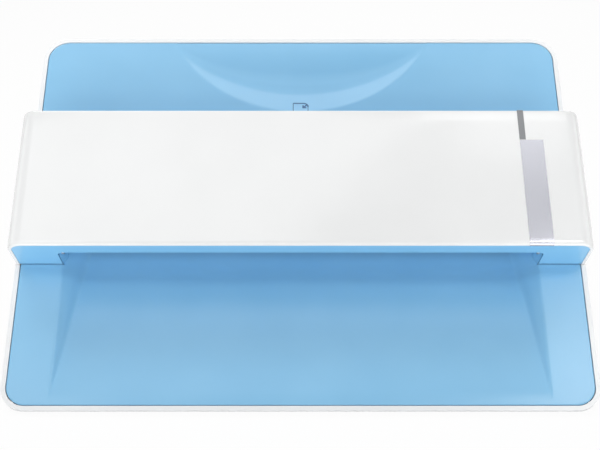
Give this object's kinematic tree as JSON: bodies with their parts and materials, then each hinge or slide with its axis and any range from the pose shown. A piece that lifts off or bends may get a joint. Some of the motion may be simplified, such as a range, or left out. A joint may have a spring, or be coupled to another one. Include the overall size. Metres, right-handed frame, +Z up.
{
  "type": "sheet-fed scanner",
  "caption": "White desktop scanner with a leaning blue paper path, a hinged cover bar across it, a sunk exit tray and a thumb scoop over the feed slot.",
  "frame": {"origin": "middle of the footprint, on the table under the feet", "axes": "+X to the user's right, +Y to the back, +Z up"},
  "size_m": [0.29, 0.16, 0.1573],
  "materials": {
    "housing_white": "moulded white ABS, glossy",
    "liner_blue": "moulded sky-blue ABS, satin",
    "cover_white": "moulded white ABS, high gloss",
    "trim_silver": "satin silver plate, bare",
    "window_grey": "smoked light guide",
    "frame_black": "moulded black ABS",
    "bright_steel": "plated steel",
    "grip_rubber": "moulded rubber",
    "gear_nylon": "moulded acetal",
    "pinion_brass": "cut brass",
    "bed_glass": "float glass strip",
    "mirror_glass": "silvered glass strip",
    "board_green": "printed circuit board",
    "chip_black": "moulded package",
    "ribbon_white": "flat cable",
    "motor_can": "drawn steel can",
    "button_grey": "moulded light grey ABS"
  },
  "bodies": {
    "chassis": {"main_housing": "housing_white", "base_plate": "housing_white", "rubber_feet": "grip_rubber", "base_screws": "bright_steel", "tray_liner": "liner_blue", "feed_panel": "liner_blue", "scan_bed": "frame_black", "left_side_plate": "bright_steel", "right_side_plate": "bright_steel", "chassis_screws": "bright_steel", "scan_glass": "bed_glass", "optics_housing": "frame_black", "light_bar": "gear_nylon", "fold_mirrors": "mirror_glass", "scan_lens": "frame_black", "sensor_board": "board_green", "sensor_chip": "chip_black", "sensor_ribbon": "ribbon_white", "main_board": "board_green", "board_chips": "chip_black", "board_screws": "bright_steel", "usb_socket": "bright_steel", "power_jack": "frame_black", "power_switch": "frame_black", "feed_motor": "motor_can", "motor_screws": "bright_steel", "gear_axles": "bright_steel", "shaft_bushes": "gear_nylon", "flag_sensor": "frame_black", "hinge_pins": "bright_steel"},
    "cover": {"front_cover": "cover_white", "cover_inner": "liner_blue", "cover_screws": "bright_steel", "trim_plate": "trim_silver", "status_window": "window_grey", "status_board": "board_green", "background_plate": "housing_white", "exit_pinch_springs": "bright_steel", "feed_pinch_springs": "bright_steel"},
    "exit_pinch_set": {"exit_pinch_blocks": "gear_nylon"},
    "exit_pinch": {"exit_pinch_axle": "bright_steel", "exit_pinch_rollers": "grip_rubber"},
    "feed_pinch_set": {"feed_pinch_blocks": "gear_nylon"},
    "feed_pinch": {"feed_pinch_axle": "bright_steel", "feed_pinch_rollers": "grip_rubber"},
    "feed_drive": {"feed_shaft": "bright_steel", "feed_rollers": "grip_rubber", "feed_gear": "gear_nylon"},
    "exit_drive": {"exit_shaft": "bright_steel", "exit_rollers": "grip_rubber", "exit_gear": "gear_nylon"},
    "transfer_wheel": {"transfer_gear": "gear_nylon"},
    "reduction_wheel": {"reduction_gear": "gear_nylon"},
    "pinion_wheel": {"motor_pinion": "pinion_brass"},
    "width_stop": {"width_guide": "liner_blue"},
    "sheet_flag": {"paper_flag": "frame_black"},
    "power_key": {"power_button": "button_grey"}
  },
  "joints": [
    {"name": "cover_hinge", "type": "hinge", "parent": "chassis", "child": "cover", "pos_m": [0, -0.03226, 0.06671], "axis": [1, 0, 0], "range_deg": [0, 85]},
    {"name": "exit_pinch_give", "type": "slide", "parent": "cover", "child": "exit_pinch_set", "axis": [0, -0.7278, 0.6858], "range_m": [0, 0.0008], "stiffness_N_per_m": 1500, "springref_m": -0.001, "deforming": ["exit_pinch_springs"]},
    {"name": "exit_pinch_spin", "type": "hinge", "parent": "exit_pinch_set", "child": "exit_pinch", "pos_m": [0, -0.01346, 0.07456], "axis": [1, 0, 0], "continuous": true},
    {"name": "feed_pinch_give", "type": "slide", "parent": "cover", "child": "feed_pinch_set", "axis": [0, -0.7278, 0.6858], "range_m": [0, 0.0008], "stiffness_N_per_m": 1500, "springref_m": -0.001, "deforming": ["feed_pinch_springs"]},
    {"name": "feed_pinch_spin", "type": "hinge", "parent": "feed_pinch_set", "child": "feed_pinch", "pos_m": [0, 0.00986, 0.0993], "axis": [1, 0, 0], "continuous": true},
    {"name": "feed_spin", "type": "hinge", "parent": "chassis", "child": "feed_drive", "pos_m": [0, 0.0199, 0.08984], "axis": [1, 0, 0], "continuous": true},
    {"name": "exit_spin", "type": "hinge", "parent": "chassis", "child": "exit_drive", "pos_m": [0, -0.00342, 0.06509], "axis": [1, 0, 0], "continuous": true},
    {"name": "transfer_spin", "type": "hinge", "parent": "chassis", "child": "transfer_wheel", "pos_m": [0, 0.01474, 0.07134], "axis": [1, 0, 0], "continuous": true},
    {"name": "reduction_spin", "type": "hinge", "parent": "chassis", "child": "reduction_wheel", "pos_m": [0, -0.00285, 0.0459], "axis": [1, 0, 0], "continuous": true},
    {"name": "pinion_spin", "type": "hinge", "parent": "chassis", "child": "pinion_wheel", "pos_m": [0, -0.02013, 0.02756], "axis": [1, 0, 0], "continuous": true},
    {"name": "width_slide", "type": "slide", "parent": "chassis", "child": "width_stop", "axis": [-1, 0, 0], "range_m": [0, 0.14]},
    {"name": "flag_turn", "type": "hinge", "parent": "chassis", "child": "sheet_flag", "pos_m": [0, 0.0257, 0.09468], "axis": [1, 0, 0], "range_deg": [0, 35], "stiffness_Nm_per_rad": 0.001, "springref_deg": -17.19},
    {"name": "power_press", "type": "slide", "parent": "chassis", "child": "power_key", "axis": [0, -1, 0], "range_m": [0, 0.002], "stiffness_N_per_m": 500, "springref_m": -0.001}
  ],
  "couplings": [
    {"joint": "exit_spin", "follows": "feed_spin", "ratio": 1},
    {"joint": "transfer_spin", "follows": "feed_spin", "ratio": -1.6667},
    {"joint": "reduction_spin", "follows": "feed_spin", "ratio": -1.6667},
    {"joint": "pinion_spin", "follows": "feed_spin", "ratio": 4.1667},
    {"joint": "exit_pinch_spin", "follows": "feed_spin", "ratio": -1.0769},
    {"joint": "feed_pinch_spin", "follows": "feed_spin", "ratio": -1.0769}
  ]
}
